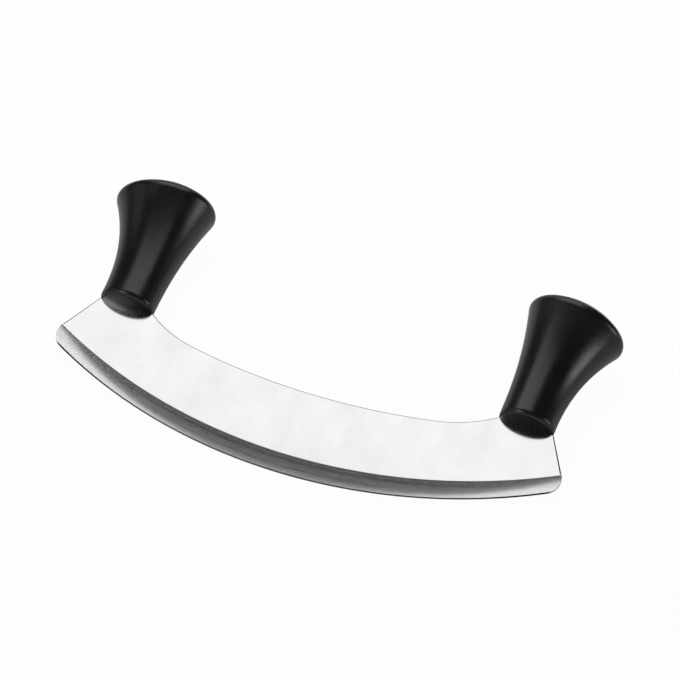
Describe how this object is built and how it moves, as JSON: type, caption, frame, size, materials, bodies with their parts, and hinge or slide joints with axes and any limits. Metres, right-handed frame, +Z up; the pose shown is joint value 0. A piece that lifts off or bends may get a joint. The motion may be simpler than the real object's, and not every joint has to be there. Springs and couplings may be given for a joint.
{
  "type": "mezzaluna",
  "caption": "Two-handled rocking knife: a crescent steel blade with a hollow-ground bevel, its tangs moulded into flared knob handles, for mincing herbs on a board.",
  "frame": {"origin": "on the table under the middle of the part, as it lies on its back", "axes": "+X along the blade from the left handle to the right one, +Y from the cutting edge towards the crowns, +Z up from the table"},
  "size_m": [0.24, 0.1234, 0.0381],
  "materials": {
    "blade_steel": "fine satin stainless steel, with grinding lines across the hollow bevel",
    "core_plastic": "black moulded plastic, satin",
    "grip_plastic": "black moulded plastic, satin with a faint sheen"
  },
  "bodies": {
    "root": {"blade": "blade_steel", "left_handle_core": "core_plastic", "left_handle_grip": "grip_plastic", "right_handle_core": "core_plastic", "right_handle_grip": "grip_plastic"}
  },
  "joints": []
}
